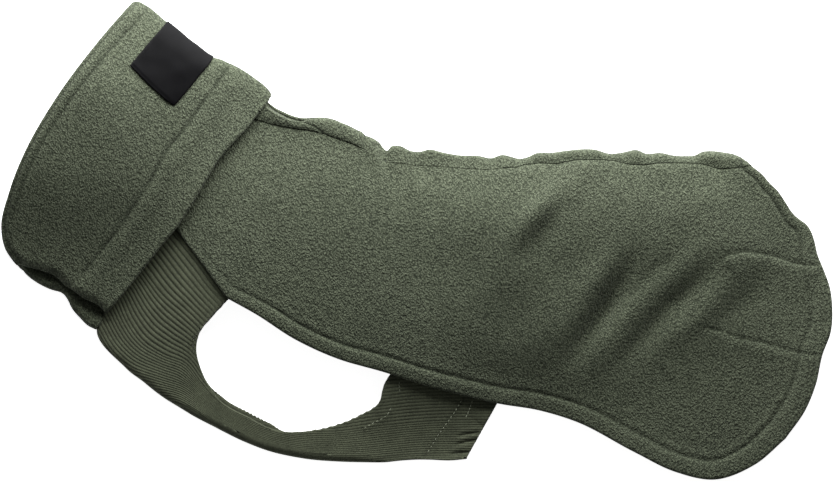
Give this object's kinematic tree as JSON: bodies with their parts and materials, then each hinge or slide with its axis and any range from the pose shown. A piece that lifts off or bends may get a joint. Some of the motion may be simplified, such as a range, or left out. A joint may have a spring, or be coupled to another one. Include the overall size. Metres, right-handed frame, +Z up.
{
  "type": "dog sweater",
  "caption": "Fleece dog sweater laid flat on its side, with a turned-down collar, rib-knit chest panel with leg holes, leash slit and gathered drawcord casing along the back.",
  "frame": {"origin": "centre of the underside of the laid-out sweater's bounding box, on the surface that it lies on", "axes": "+X from the collar to the tail, +Y towards the back line, +Z up, out of the surface; the wearer's left half is on top"},
  "size_m": [0.5485, 0.3147, 0.0212],
  "materials": {
    "fleece": "brushed polar fleece, grey-green, matt with a short pebbly nap",
    "rib_knit": "rib knit, dark grey-green, matt",
    "satin": "black woven satin, bare"
  },
  "bodies": {
    "root": {"back_left": "fleece", "back_right": "fleece", "spine_casing": "fleece", "slit_welt_left": "fleece", "slit_welt_right": "fleece", "chest_rib": "rib_knit", "collar_outer": "fleece", "collar_inner": "fleece", "neck_label": "satin"}
  },
  "joints": []
}
